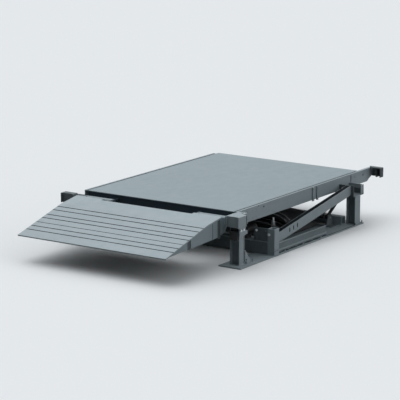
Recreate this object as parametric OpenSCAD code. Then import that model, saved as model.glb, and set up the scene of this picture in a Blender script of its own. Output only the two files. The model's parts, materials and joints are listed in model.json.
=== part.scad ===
// Dock leveler with a hinged lip, standing on its own frame.
// Millimetres. X runs across the deck, +Y to the rear, Z up from the floor.

// Which piece to build

/* [Deck] */
// Width of the deck plate
deck_width = 1880; // [1750:10:2200]
// Length of the deck plate
deck_length = 2560; // [2400:10:3000]
// Height of the deck's top face above the floor
deck_height = 530; // [520:5:590]
// Thickness of the deck plate
deck_plate_t = 8; // [6:1:10]
// Depth of the beams under the deck plate
deck_beam_depth = 120; // [100:5:125]

/* [Lip] */
// Length of the flat rear part of the lip, along its slope
lip_rear_length = 280; // [250:10:330]
// Length of the front part of the lip, along its slope
lip_front_length = 760; // [650:10:800]
// Slope of the rear part of the lip
lip_rear_slope = 8.5; // [7:0.5:11]
// Extra slope of the front part, from the bend in the plate
lip_crown = 6.5; // [4:0.5:7]
// Thickness of the lip plate
lip_plate_t = 14; // [10:1:16]
// Depth of the lip's wedge below its plate at the hinge end
lip_wedge_depth = 185; // [150:5:200]
// Width of one groove across the lip
lip_groove_w = 9; // [4:1:12]

/* [Hinges] */
// Diameter of the lip's hinge pin
lip_pin_d = 40; // [30:2:44]
// Outer diameter of the lip's hinge tubes
lip_tube_d = 58; // [54:2:62]
// Diameter of the rear hinge pins
rear_pin_d = 30; // [24:2:34]
// Gap on the radius where a pin turns in a bore
running_gap = 0.05; // [0.03:0.01:0.09]

/* [Frame] */
// Height of the side rails
rail_height = 146; // [136:2:150]
// Width of the side rails' flanges
rail_flange = 34; // [30:2:44]
// Gap between the deck and a side rail
rail_gap = 10; // [8:1:14]
// Thickness of the base plates
base_t = 12; // [10:1:16]
// Width of the base plates
base_width = 272; // [260:2:300]
// Height of the upright under the brace
upright_height = 280; // [240:10:300]
// Diameter of the anchor holes in the base plates
anchor_hole_d = 18; // [14:1:22]

/* [Lift] */
// Height of the air bag
bag_height = 290; // [260:5:300]
// Length of the air bag along the deck
bag_length = 720; // [600:10:800]
// Outer diameter of a strut's barrel
strut_barrel_d = 36; // [32:1:42]
// Diameter of a strut's rod
strut_rod_d = 18; // [14:1:22]

/* [Hidden] */
$fn = 64;
half_deck = deck_width / 2;
rail_web = 7;
rail_lip_t = 10;
rail_in = half_deck + rail_gap;
rail_out = rail_in + rail_flange;
rail_bottom = deck_height - rail_height;
rail_hole_y = 514;
doubler_end = 401;
stiffener_w = 30;
stiffener_front = deck_length - 1061;
stiffener_back = stiffener_front + 117;
right_rail_end = deck_length + 250;
anchor_back = right_rail_end + 40;
left_rail_end = deck_length + 90;
left_rail_top_end = deck_length - 50;
beam_top = deck_height - deck_plate_t;
beam_bottom = beam_top - deck_beam_depth;

// Base plates and what stands on them
base_out = rail_out + 210;
base_in = base_out - base_width;
base_front = -255;
base_rear = deck_length - 275;

// Front posts
post_in = rail_out + 21;
post_out = rail_out + 136;
post_front = -168;
post_back = -69;
head_in = rail_out - 4;
head_out = rail_out + 158;
head_front = -203;
head_mid = -60;
head_back = 31;
tie_out = rail_out + 107;
head_bottom = rail_bottom + 30;
head_top = deck_height - 2;
left_head_mid = -130;
left_head_top = deck_height - 12;
left_tie_top = deck_height - 62;
plate_t = 10;
gusset_length = 110;
gusset_height = 140;
bumper_arch = 14;

// Rear posts
rear_post_front = deck_length - 430;
rear_post_back = deck_length - 315;
rear_post_in = rail_out + 71;
rear_post_out = rail_out + 183;
seat_front = deck_length - 470;
seat_back = deck_length - 243;
seat_bottom = rail_bottom - 55;
seat_top = rail_bottom + 74;

// Braces and uprights
brace_in = rail_out + 86;
brace_out = rail_out + 146;
brace_depth = 106;
upright_front = 400;
upright_back = 490;
upright_in = rail_out + 121;
upright_out = rail_out + 206;
upright_top = base_t + upright_height;
brace_low = base_t + 85;
brace_high = seat_top - brace_depth - 2;
angle_in = brace_out + 22;
angle_out = base_out - 8;
angle_top = 126;
angle_back = 1500;

// Cross beams
front_beam_y = upright_front;
front_beam_w = 80;
front_beam_h = 140;
rear_beam_y = seat_front - 60;
rear_beam_w = 80;
rear_beam_h = 90;

// Rear hinge
hinge_y = deck_length + 15;
hinge_z = deck_height - 70;
hinge_beam_front = deck_length + 48;
hinge_beam_back = left_rail_end;
hinge_beam_top = deck_height - 40;
hinge_beam_bottom = rail_bottom + rail_lip_t;
hinge_x = [0.25 * half_deck, 0.8 * half_deck];
lug_boss = 60;
frame_lug_t = 16;
deck_lug_t = 14;
lug_gap = 6;

// Lip hinge and lip profile
lip_hinge_y = -60;
lip_hinge_z = deck_height - 72;
lip_half = half_deck - 6;
lip_back = [-204, deck_height - 17];
lip_front_slope = lip_rear_slope + lip_crown;
lip_bend = lip_back + lip_rear_length * [-cos(lip_rear_slope), -sin(lip_rear_slope)];
lip_tip = lip_bend + lip_front_length * [-cos(lip_front_slope), -sin(lip_front_slope)];
lip_down_rear = lip_plate_t * [sin(lip_rear_slope), -cos(lip_rear_slope)];
lip_down_front = lip_plate_t * [sin(lip_front_slope), -cos(lip_front_slope)];
lip_under_back = lip_back + lip_down_rear;
lip_under_bend = lip_bend + lip_down_rear + [(lip_down_front[0] - lip_down_rear[0]) / 2, 0];
lip_under_tip = lip_tip + [0, -lip_plate_t * 0.8];
lip_under_slope = (lip_under_bend[1] - lip_under_tip[1]) / (lip_under_bend[0] - lip_under_tip[0]);
lip_back_slope = (lip_under_back[1] - lip_under_bend[1]) / (lip_under_back[0] - lip_under_bend[0]);
cheek_t = 12;
cheek_step = 8;
cheek_back_y = -235;
cheek_seam_y = -772;
cheek_tip_y = lip_tip[0] + 40;
cheek_low = lip_back[1] - lip_wedge_depth - 18;
lip_notch_half = 0.62 * half_deck;
lip_notch_depth = 36;
lip_grooves = [0.08, 0.19, 0.336, 0.44, 0.573, 0.69, 0.803];
mid_rib_x = 0.2 * half_deck;
inner_rib_x = 0.585 * half_deck;
end_rib_x = lip_half - cheek_t - cheek_step;
rib_t = 12;
deck_lip_lug_t = 12;
end_lug_in = end_rib_x + 6;
inner_lug_in = inner_rib_x - 6 - deck_lip_lug_t;

// Air bag
bag_half = half_deck - 110;
bag_front = deck_length - 1390;
bag_rear_height = bag_height * 0.66;
tray_front = bag_front - 80;
tray_t = 5;

// Struts
strut_x = [half_deck - 107, half_deck - 32];
strut_eye_w = 22;
strut_foot_y = deck_length - 610;
strut_foot_z = base_t + 88;
strut_top_y = deck_length - 160;
strut_top_z = beam_bottom - 32;
strut_pin_d = 20;
strut_eye_d = 44;
strut_top_eye_d = 48;
strut_play = 3;
strut_run = [strut_top_y - strut_foot_y, strut_top_z - strut_foot_z];
strut_length = norm(strut_run);
strut_angle = atan2(strut_run[1], strut_run[0]);
strut_barrel_end = strut_length * 0.62;
strut_foot_plate = half_deck;

// Stop bolts
stop_x = half_deck - 25;
stop_y = 805;
stop_drop = (hinge_y - stop_y) * tan(2.5);
stop_top = beam_bottom - stop_drop - 9;

// Blower
motor_x = half_deck - 150;
motor_d = 140;
motor_front = front_beam_y + 4;
motor_back = front_beam_y + 210;
motor_z = base_t + front_beam_h + 6 + motor_d / 2;

// Overall length sets the origin
front_end = lip_tip[0];
mid_y = (anchor_back + front_end) / 2;

// Height of the lip's underside at a given y
function lip_under(y) =
    y > lip_under_bend[0]
        ? lip_under_back[1] + (y - lip_under_back[0]) * lip_back_slope
        : lip_under_tip[1] + (y - lip_under_tip[0]) * lip_under_slope;

// Height of the wedge's lower edge at a given y
function wedge_low(y) =
    lip_under(cheek_tip_y) + (y - cheek_tip_y) * (cheek_low - lip_under(cheek_tip_y)) / (cheek_back_y - cheek_tip_y);

module block(x, y, z) {
    translate([x[0], y[0], z[0]])
        cube([x[1] - x[0], y[1] - y[0], z[1] - z[0]]);
}

// A profile in the side view, run across from one x to another
module across(x, points) {
    translate([x[0], 0, 0])
        rotate([90, 0, 90])
            linear_extrude(x[1] - x[0])
                polygon(points);
}

module rod_across(x, y, z, d) {
    translate([x[0], y, z])
        rotate([0, 90, 0])
            cylinder(h = x[1] - x[0], d = d);
}

module rod_up(x, y, z, d) {
    translate([x, y, z[0]])
        cylinder(h = z[1] - z[0], d = d);
}

module both_sides() {
    children();
    mirror([1, 0, 0])
        children();
}

module left_of() {
    mirror([1, 0, 0])
        children();
}

// Base of the frame

module right_base_plate() {
    difference() {
        block([base_in, base_out], [base_front, base_rear], [0, base_t]);
        for (y = [base_front + 25, base_rear - 25], x = [base_in + 25, base_out - 25])
            rod_up(x, y, [-1, base_t + 1], anchor_hole_d);
    }
}

module left_base_plate() {
    left_of() right_base_plate();
}

module right_base_angle() {
    block([angle_in, angle_in + 8], [upright_back, angle_back], [base_t, angle_top]);
    block([angle_in, angle_out], [upright_back, angle_back], [base_t, base_t + 8]);
}

module left_base_angle() {
    left_of() right_base_angle();
}

module front_cross_beam() {
    z = [base_t, base_t + front_beam_h];
    y = [front_beam_y, front_beam_y + front_beam_w];
    difference() {
        block([-upright_in, upright_in], y, z);
        block([-upright_in - 1, upright_in + 1], [y[0] + 8, y[1] + 1], [z[0] + 8, z[1] - 8]);
    }
}

module rear_cross_beam() {
    z = [base_t, base_t + rear_beam_h];
    y = [rear_beam_y, rear_beam_y + rear_beam_w];
    difference() {
        block([-rear_post_in, rear_post_in], y, z);
        block([-rear_post_in - 1, rear_post_in + 1], [y[0] + 6, y[1] - 6], [z[0] + 6, z[1] - 6]);
    }
}

// Front posts

module right_front_post() {
    z = [base_t, head_bottom];
    mid = (post_front + post_back) / 2;
    block([post_in, post_in + plate_t], [post_front, post_back], z);
    block([post_out - plate_t, post_out], [post_front, post_back], z);
    block([post_in, post_out], [mid, mid + plate_t], z);
}

module left_front_post() {
    left_of() right_front_post();
}

module front_head(back, top, tie_top) {
    difference() {
        block([head_in, head_out], [head_front, back], [head_bottom, top]);
        block(
            [head_in + plate_t, head_out - plate_t],
            [head_front + plate_t, back + 1],
            [head_bottom + plate_t, top - plate_t]
        );
    }
    difference() {
        block([rail_out, tie_out], [back, head_back], [head_bottom, tie_top]);
        rod_up(tie_out - 40, head_back - 38, [tie_top - 30, tie_top + 1], 26);
    }
    block([rail_in, rail_out], [back, 0], [head_bottom + 6, head_bottom + 60]);
}

module right_front_head() {
    front_head(head_mid, head_top, head_top);
}

module left_front_head() {
    left_of() front_head(left_head_mid, left_head_top, left_tie_top);
}

// Front view of a bumper, with an arched top
module bumper_profile(x, z) {
    mid = (x[0] + x[1]) / 2;
    half = (x[1] - x[0]) / 2;
    polygon(concat(
        [[x[1], z[0]], [x[1], z[1] - bumper_arch]],
        [for (k = [1:11]) [mid + half * (1 - k / 6), z[1] - bumper_arch * pow(1 - k / 6, 2)]],
        [[x[0], z[1] - bumper_arch], [x[0], z[0]]]
    ));
}

module front_bumpers() {
    mid = (post_front + post_back) / 2;
    x = [post_in + plate_t, post_out - plate_t];
    z = [head_bottom - 132, head_bottom];
    both_sides()
        difference() {
            translate([0, mid, 0])
                rotate([90, 0, 0])
                    linear_extrude(mid - post_front + 24)
                        bumper_profile(x, z);
            block([x[0] - 1, x[1] + 1], [post_front - 25, post_front + 4], [z[0] + 92, z[1] - 1]);
        }
}

module post_clamp_plates() {
    z = [head_bottom - 96, head_bottom];
    both_sides() {
        block([post_out, post_out + 6], [post_front - 6, post_back + 10], z);
        block([post_out - 24, post_out + 6], [post_back, post_back + 46], [z[0] + 8, z[0] + 46]);
    }
}

module post_gussets() {
    both_sides()
        difference() {
            across(
                [post_out - plate_t, post_out],
                [
                    [post_back, base_t],
                    [post_back + gusset_length, base_t],
                    [post_back + gusset_length, base_t + 20],
                    [post_back + 20, base_t + gusset_height],
                    [post_back, base_t + gusset_height]
                ]
            );
            rod_across([post_out - plate_t - 1, post_out + 1], post_back + 34, base_t + 36, 26);
        }
}

// Side rails

module rail(end, chamfer) {
    z = [rail_bottom, deck_height];
    difference() {
        block([rail_in, rail_out], [0, end], z);
        block(
            [rail_in - 1, rail_out - rail_web],
            [-1, end + 1],
            [z[0] + rail_lip_t, z[1] - rail_lip_t]
        );
        across(
            [rail_in - 1, rail_out + 1],
            [
                [end - chamfer * 2, z[0] - 1],
                [end + 1, z[0] - 1],
                [end + 1, z[0] + chamfer],
                [end - chamfer, z[0] + chamfer * 0.6]
            ]
        );
    }
}

module right_side_rail() {
    difference() {
        rail(right_rail_end, 46);
        rod_across([rail_in - 1, rail_out + 1], rail_hole_y, deck_height - 36, 20);
    }
}

module left_side_rail() {
    left_of()
        difference() {
            rail(left_rail_end, 0.5);
            rod_across([rail_in - 1, rail_out + 1], rail_hole_y, deck_height - 36, 20);
            block(
                [rail_in - 1, rail_out + 1],
                [left_rail_top_end, left_rail_end + 1],
                [hinge_beam_top, deck_height + 1]
            );
        }
}

module rail_doublers() {
    z = [rail_bottom + 12, deck_height - 14];
    both_sides() {
        block([rail_out, rail_out + 8], [head_back, doubler_end], z);
        block([rail_out, rail_out + 8], [deck_length - 220, deck_length - 119], [z[0] + 40, z[1]]);
    }
}

module rail_stiffeners() {
    z = [rail_bottom - 12, deck_height - 6];
    both_sides() {
        block([rail_out, rail_out + 12], [stiffener_front, stiffener_front + stiffener_w], z);
        block([rail_out, rail_out + 12], [stiffener_back - stiffener_w, stiffener_back], z);
    }
}

module right_rear_anchor() {
    y = [right_rail_end - 30, anchor_back];
    x = [rail_out, rail_out + 136];
    z = [rail_bottom + 46, deck_height + 8];
    block(x, [y[1] - 10, y[1]], z);
    block(x, y, [z[1] - 10, z[1]]);
    block([x[1] - 10, x[1]], y, z);
    block([x[0] + 76, x[0] + 84], y, z);
}

// Rear posts and braces

module right_rear_post() {
    z = [base_t, seat_bottom];
    mid = (rear_post_front + rear_post_back) / 2;
    block([rear_post_in, rear_post_in + plate_t], [rear_post_front, rear_post_back], z);
    block([rear_post_out - plate_t, rear_post_out], [rear_post_front, rear_post_back], z);
    block([rear_post_in, rear_post_out], [mid - plate_t / 2, mid + plate_t / 2], z);
}

module left_rear_post() {
    left_of() right_rear_post();
}

module right_rear_seat() {
    block([rail_in, rear_post_out], [seat_front, seat_back], [seat_bottom, seat_bottom + plate_t]);
    block([rail_in, rear_post_out], [seat_front, seat_front + plate_t], [seat_bottom, rail_bottom]);
    block([rail_out, rear_post_out], [seat_front, seat_front + plate_t], [seat_bottom, seat_top]);
    block([rail_in, rear_post_out], [seat_back - 14, seat_back], [seat_bottom, rail_bottom]);
    block([rail_out, rear_post_out], [seat_back - 14, seat_back], [seat_bottom, rail_bottom + 10]);
    block([rail_in, rail_in + plate_t], [seat_front, seat_back], [seat_bottom, rail_bottom]);
}

module left_rear_seat() {
    left_of() right_rear_seat();
}

module right_brace() {
    wall = 6;
    low = [upright_back, brace_low];
    high = [seat_front, brace_high];
    difference() {
        across(
            [brace_in, brace_out],
            [low, high, high + [0, brace_depth], low + [0, brace_depth]]
        );
        across(
            [brace_in + wall, brace_out - wall],
            [
                low + [wall, wall * 1.2],
                high + [-wall, wall],
                high + [-wall, brace_depth - wall],
                low + [wall, brace_depth - wall]
            ]
        );
    }
}

module left_brace() {
    left_of() right_brace();
}

module right_brace_upright() {
    z = [base_t, upright_top];
    difference() {
        block([upright_in, upright_out], [upright_front, upright_back], z);
        block([upright_in + 8, upright_out - 8], [upright_front + 8, upright_back - 8], [z[0] + 8, z[1] + 1]);
    }
}

module left_brace_upright() {
    left_of() right_brace_upright();
}

// Rear hinge on the frame

module rear_hinge_beam() {
    y = [hinge_beam_front, hinge_beam_back];
    z = [hinge_beam_bottom, hinge_beam_top];
    x = rail_out - rail_web;
    difference() {
        block([-x, x], y, z);
        block([-x - 1, x + 1], [y[0] + 6, y[1] - 6], [z[0] + 6, z[1] - 6]);
    }
}

module frame_hinge_lugs() {
    both_sides()
        for (x = hinge_x)
            difference() {
                union() {
                    rod_across([x - frame_lug_t / 2, x + frame_lug_t / 2], hinge_y, hinge_z, lug_boss);
                    block(
                        [x - frame_lug_t / 2, x + frame_lug_t / 2],
                        [hinge_y, hinge_beam_front],
                        [hinge_z - lug_boss / 2, hinge_z + lug_boss / 2]
                    );
                }
                rod_across(
                    [x - frame_lug_t, x + frame_lug_t],
                    hinge_y,
                    hinge_z,
                    rear_pin_d + 2 * running_gap
                );
            }
}

// Lift and what stands on the base

module bag_tray() {
    block([-base_in, base_in], [tray_front, bag_front + bag_length + 60], [0, tray_t]);
}

// Side view of one layer of the bag: low at the rear, with round front and rear edges
module bag_layer_profile(low, front_h, rear_h) {
    y0 = bag_front;
    y1 = bag_front + bag_length;
    polygon([
        [y0 + front_h / 2, low[0]],
        [y1 - rear_h / 2, low[1]],
        [y1 - rear_h / 2, low[1] + rear_h],
        [y0 + front_h / 2, low[0] + front_h]
    ]);
    translate([y0 + front_h / 2, low[0] + front_h / 2])
        circle(d = front_h);
    translate([y1 - rear_h / 2, low[1] + rear_h / 2])
        circle(d = rear_h);
}

module air_bag() {
    front_h = bag_height / 2;
    rear_h = bag_rear_height / 2;
    for (k = [0, 1])
        translate([-bag_half, 0, 0])
            rotate([90, 0, 90])
                linear_extrude(2 * bag_half)
                    bag_layer_profile([tray_t + k * front_h, tray_t + k * rear_h], front_h, rear_h);
}

module stop_bolts() {
    both_sides() {
        block([stop_x - 2, stop_x + 60], [stop_y - 35, stop_y + 35], [base_t, base_t + 10]);
        rod_up(stop_x + 5, stop_y, [base_t, stop_top - 70], 46);
        rod_up(stop_x + 5, stop_y, [base_t, stop_top - 40], 38);
        rod_up(stop_x + 5, stop_y, [base_t, stop_top], 24);
    }
}

module strut_feet() {
    both_sides()
        difference() {
            union() {
                across(
                    [strut_foot_plate, strut_foot_plate + 14],
                    [
                        [strut_foot_y - 90, base_t],
                        [strut_foot_y + 60, base_t],
                        [strut_foot_y + 32, strut_foot_z + 30],
                        [strut_foot_y - 40, strut_foot_z + 30]
                    ]
                );
                block([base_in, strut_foot_plate + 80], [strut_foot_y - 90, strut_foot_y + 60], [base_t, base_t + 8]);
            }
            rod_across([base_in, strut_foot_plate + 40], strut_foot_y, strut_foot_z, strut_pin_d);
        }
}

module strut_foot_pins() {
    both_sides()
        rod_across([strut_x[0] - 16, strut_foot_plate + 14], strut_foot_y, strut_foot_z, strut_pin_d);
}

module blower_motor() {
    low = base_t + front_beam_h;
    translate([motor_x, motor_front, motor_z])
        rotate([-90, 0, 0])
            cylinder(h = motor_back - motor_front, d = motor_d - 24);
    for (k = [0:7])
        translate([motor_x, motor_front + 8 + k * 22, motor_z])
            rotate([-90, 0, 0])
                cylinder(h = 12, d = motor_d);
    block([motor_x - 60, motor_x + 60], [motor_front, motor_front + 76], [low, motor_z - motor_d * 0.3]);
}

module blower_plate() {
    low = base_t + front_beam_h;
    plate_in = upright_in - 170;
    plate_out = upright_in - 4;
    difference() {
        block([plate_in, plate_out], [front_beam_y + 4, front_beam_y + 14], [low, low + 138]);
        for (x = [plate_in + 30, plate_out - 30], z = [low + 30, low + 108])
            translate([x, front_beam_y, z])
                rotate([-90, 0, 0])
                    cylinder(h = 20, d = 14);
    }
}

// Deck

module deck_plate() {
    block([-half_deck, half_deck], [0, deck_length], [beam_top, deck_height]);
}

module deck_front_header() {
    block([-half_deck + 3, half_deck - 3], [4, 16], [beam_bottom, beam_top]);
}

module deck_rear_header() {
    block([-half_deck + 3, half_deck - 3], [deck_length - 60, deck_length - 48], [beam_bottom, beam_top]);
}

module i_beam(x) {
    y = [16, deck_length - 60];
    block([x - 40, x + 40], y, [beam_bottom, beam_bottom + 9]);
    block([x - 40, x + 40], y, [beam_top - 9, beam_top]);
    block([x - 4, x + 4], y, [beam_bottom, beam_top]);
}

module deck_beams() {
    both_sides()
        for (x = [0.15 * half_deck, 0.48 * half_deck, 0.8 * half_deck])
            i_beam(x);
}

module deck_side_beams() {
    y = [16, deck_length - 60];
    both_sides() {
        block([half_deck - 10, half_deck - 3], y, [beam_bottom, beam_top]);
        block([half_deck - 55, half_deck - 3], y, [beam_bottom, beam_bottom + 8]);
        block([half_deck - 55, half_deck - 3], y, [beam_top - 8, beam_top]);
    }
}

module deck_hinge_lugs() {
    shift = frame_lug_t / 2 + lug_gap;
    both_sides()
        for (x = hinge_x, side = [-1, 1]) {
            mid = x + side * (shift + deck_lug_t / 2);
            span = [mid - deck_lug_t / 2, mid + deck_lug_t / 2];
            difference() {
                union() {
                    rod_across(span, hinge_y, hinge_z, lug_boss - 6);
                    block(span, [deck_length - 48, hinge_y], [hinge_z - lug_boss / 2 + 3, hinge_z + lug_boss / 2 - 3]);
                }
                rod_across([span[0] - 1, span[1] + 1], hinge_y, hinge_z, rear_pin_d);
            }
        }
}

module deck_hinge_pins() {
    reach = frame_lug_t / 2 + lug_gap + deck_lug_t;
    both_sides()
        for (x = hinge_x)
            rod_across([x - reach, x + reach], hinge_y, hinge_z, rear_pin_d);
}

module deck_lip_lug(span) {
    difference() {
        union() {
            rod_across(span, lip_hinge_y, lip_hinge_z, lip_tube_d);
            across(
                span,
                [
                    [lip_hinge_y, lip_hinge_z - lip_tube_d / 2],
                    [4, beam_bottom + 10],
                    [4, lip_hinge_z + lip_tube_d / 2],
                    [lip_hinge_y, lip_hinge_z + lip_tube_d / 2]
                ]
            );
        }
        rod_across([span[0] - 1, span[1] + 1], lip_hinge_y, lip_hinge_z, lip_pin_d);
    }
}

module deck_lip_lugs() {
    both_sides()
        for (x = [inner_lug_in, end_lug_in])
            deck_lip_lug([x, x + deck_lip_lug_t]);
}

module lip_hinge_pins() {
    both_sides()
        rod_across([inner_lug_in, end_lug_in + deck_lip_lug_t], lip_hinge_y, lip_hinge_z, lip_pin_d);
}

module strut_clevises() {
    x = [half_deck - 15, half_deck - 3];
    both_sides()
        difference() {
            across(
                x,
                [
                    [strut_top_y - 60, beam_bottom],
                    [strut_top_y - 26, strut_top_z - 22],
                    [strut_top_y + 26, strut_top_z - 22],
                    [strut_top_y + 60, beam_bottom]
                ]
            );
            rod_across([x[0] - 1, x[1] + 1], strut_top_y, strut_top_z, strut_pin_d);
        }
}

module strut_top_pins() {
    both_sides()
        rod_across([strut_x[0] - 16, half_deck - 3], strut_top_y, strut_top_z, strut_pin_d);
}

// Lip

module lip_plate() {
    difference() {
        across(
            [-lip_half, lip_half],
            [lip_back, lip_bend, lip_tip, lip_under_tip, lip_under_bend, lip_under_back]
        );
        block(
            [-lip_notch_half, lip_notch_half],
            [lip_back[0] - lip_notch_depth, lip_back[0] + 40],
            [lip_under_bend[1], deck_height]
        );
        for (f = lip_grooves)
            translate([0, lip_bend[0], lip_bend[1]])
                rotate([lip_front_slope, 0, 0])
                    translate([-lip_half - 1, -f * lip_front_length - lip_groove_w, -2])
                        cube([2 * lip_half + 2, lip_groove_w, 20]);
    }
}

module right_lip_cheek() {
    across(
        [lip_half - cheek_t, lip_half],
        [
            [cheek_back_y, lip_under(cheek_back_y)],
            lip_under_bend,
            [cheek_seam_y, lip_under(cheek_seam_y)],
            [cheek_seam_y, wedge_low(cheek_seam_y)],
            [cheek_back_y, cheek_low]
        ]
    );
}

module left_lip_cheek() {
    left_of() right_lip_cheek();
}

module lip_tip_cheeks() {
    x = [lip_half - cheek_step - cheek_t, lip_half - cheek_step];
    both_sides()
        across(
            x,
            [
                [cheek_seam_y, lip_under(cheek_seam_y)],
                [cheek_tip_y, lip_under(cheek_tip_y)],
                [cheek_seam_y, wedge_low(cheek_seam_y)]
            ]
        );
}

module lip_rib(span) {
    boss_y = lip_hinge_y;
    boss_z = lip_hinge_z;
    difference() {
        union() {
            rod_across(span, boss_y, boss_z, lip_tube_d);
            across(
                span,
                [
                    [boss_y, boss_z + lip_tube_d / 2],
                    [lip_back[0] - lip_notch_depth, lip_under(lip_back[0] - lip_notch_depth)],
                    lip_under_bend,
                    [cheek_seam_y, lip_under(cheek_seam_y)],
                    [cheek_seam_y, wedge_low(cheek_seam_y)],
                    [cheek_back_y, cheek_low],
                    [boss_y - 60, cheek_low + 20],
                    [boss_y, boss_z - lip_tube_d / 2]
                ]
            );
        }
        rod_across([span[0] - 1, span[1] + 1], boss_y, boss_z, lip_pin_d + 2 * running_gap);
    }
}

module lip_ribs() {
    both_sides()
        for (x = [inner_rib_x, end_rib_x - rib_t])
            lip_rib([x, x + rib_t]);
}

module lip_mid_ribs() {
    y = lip_back[0] - lip_notch_depth - 10;
    both_sides()
        across(
            [mid_rib_x - rib_t / 2, mid_rib_x + rib_t / 2],
            [
                [y, lip_under(y)],
                lip_under_bend,
                [cheek_seam_y, lip_under(cheek_seam_y)],
                [cheek_seam_y, wedge_low(cheek_seam_y)],
                [y, cheek_low]
            ]
        );
}

module lip_back_plate() {
    y = [lip_back[0] - lip_notch_depth - 10, lip_back[0] - lip_notch_depth];
    across(
        [-inner_rib_x, inner_rib_x],
        [
            [y[0], lip_under(y[0])],
            [y[1], lip_under(y[1])],
            [y[1], cheek_low],
            [y[0], cheek_low]
        ]
    );
}

module lip_hinge_tubes() {
    x = [inner_rib_x + rib_t, end_rib_x - rib_t];
    both_sides()
        difference() {
            rod_across(x, lip_hinge_y, lip_hinge_z, lip_tube_d);
            rod_across([x[0] - 1, x[1] + 1], lip_hinge_y, lip_hinge_z, lip_pin_d + 2 * running_gap);
        }
}

module lip_front_stiffener() {
    y = [cheek_seam_y - 10, cheek_seam_y];
    across(
        [-lip_half + cheek_step + cheek_t, lip_half - cheek_step - cheek_t],
        [
            [y[0], lip_under(y[0])],
            [y[1], lip_under(y[1])],
            [y[1], wedge_low(y[1])],
            [y[0], wedge_low(y[1])]
        ]
    );
}

// Struts

module along_strut() {
    translate([0, strut_foot_y, strut_foot_z])
        rotate([strut_angle, 0, 0])
            children();
}

module strut_bar(x, from, to, d) {
    translate([x, from, 0])
        rotate([-90, 0, 0])
            cylinder(h = to - from, d = d);
}

module strut_barrels() {
    both_sides()
        along_strut()
            for (x = strut_x)
                difference() {
                    union() {
                        rod_across([x - strut_eye_w / 2, x + strut_eye_w / 2], 0, 0, strut_eye_d);
                        strut_bar(x, 10, strut_barrel_end, strut_barrel_d);
                    }
                    rod_across([x - 30, x + 30], 0, 0, strut_pin_d + 2 * running_gap);
                    strut_bar(x, 40, strut_barrel_end + 1, strut_rod_d + 2 * running_gap);
                }
}

module strut_rods() {
    both_sides()
        along_strut()
            for (x = strut_x)
                difference() {
                    union() {
                        rod_across([x - strut_eye_w / 2, x + strut_eye_w / 2], strut_length, 0, strut_top_eye_d);
                        strut_bar(x, 90, strut_length - strut_top_eye_d / 2 + 4, strut_rod_d);
                    }
                    rod_across([x - 30, x + 30], strut_length, 0, strut_pin_d + 2 * strut_play);
                }
}

translate([0, -mid_y, 0]) {
    right_base_plate();
    left_base_plate();
    right_base_angle();
    left_base_angle();
    front_cross_beam();
    rear_cross_beam();
    right_front_post();
    left_front_post();
    right_front_head();
    left_front_head();
    front_bumpers();
    post_clamp_plates();
    post_gussets();
    right_side_rail();
    left_side_rail();
    rail_doublers();
    rail_stiffeners();
    right_rear_anchor();
    right_rear_post();
    left_rear_post();
    right_rear_seat();
    left_rear_seat();
    right_brace();
    left_brace();
    right_brace_upright();
    left_brace_upright();
    rear_hinge_beam();
    frame_hinge_lugs();
    bag_tray();
    air_bag();
    stop_bolts();
    strut_feet();
    strut_foot_pins();
    blower_motor();
    blower_plate();
    deck_plate();
    deck_front_header();
    deck_rear_header();
    deck_beams();
    deck_side_beams();
    deck_hinge_lugs();
    deck_hinge_pins();
    deck_lip_lugs();
    lip_hinge_pins();
    strut_clevises();
    strut_top_pins();
    lip_plate();
    right_lip_cheek();
    left_lip_cheek();
    lip_tip_cheeks();
    lip_ribs();
    lip_mid_ribs();
    lip_back_plate();
    lip_hinge_tubes();
    lip_front_stiffener();
    strut_barrels();
    strut_rods();
}
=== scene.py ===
"""Looks of the dock leveler: paint, rubber, fasteners, welds, light and camera."""

import json
import math
import random

import bmesh
import bpy
from mathutils import Euler, Matrix, Vector, noise


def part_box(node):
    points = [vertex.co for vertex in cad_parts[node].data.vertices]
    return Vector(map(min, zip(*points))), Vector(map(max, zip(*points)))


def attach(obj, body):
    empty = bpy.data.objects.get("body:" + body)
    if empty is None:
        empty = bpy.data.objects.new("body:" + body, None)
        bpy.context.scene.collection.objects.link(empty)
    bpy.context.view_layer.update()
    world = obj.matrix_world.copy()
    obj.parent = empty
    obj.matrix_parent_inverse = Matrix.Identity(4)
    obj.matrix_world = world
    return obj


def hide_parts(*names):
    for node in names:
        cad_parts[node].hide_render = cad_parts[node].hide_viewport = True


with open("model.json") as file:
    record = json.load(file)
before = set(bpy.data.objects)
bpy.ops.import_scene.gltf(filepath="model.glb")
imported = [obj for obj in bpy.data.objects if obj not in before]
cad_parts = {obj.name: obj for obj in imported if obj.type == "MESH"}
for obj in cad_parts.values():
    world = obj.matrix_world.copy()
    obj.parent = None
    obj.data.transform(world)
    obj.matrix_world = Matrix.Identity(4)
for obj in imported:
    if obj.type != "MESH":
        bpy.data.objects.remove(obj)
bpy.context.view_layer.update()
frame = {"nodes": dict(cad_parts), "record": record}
nodes = frame["nodes"]
scene = bpy.context.scene
scene.view_settings.view_transform = "Standard"
random.seed(7)

MM = 0.001
# Front edge of the deck, which the measures below start from
DECK_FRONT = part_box("deck_plate")[0][1]


def at(x, y, z):
    """A point given in millimetres from the deck's front edge."""
    return Vector((x * MM, y * MM + DECK_FRONT, z * MM))


# Materials


def node_tree(name):
    mat = bpy.data.materials.new(name)
    mat.use_nodes = True
    tree = mat.node_tree
    return mat, tree, tree.nodes["Principled BSDF"]


def set_specular(mat, level):
    mat.node_tree.nodes["Principled BSDF"].inputs["Specular IOR Level"].default_value = level


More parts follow.
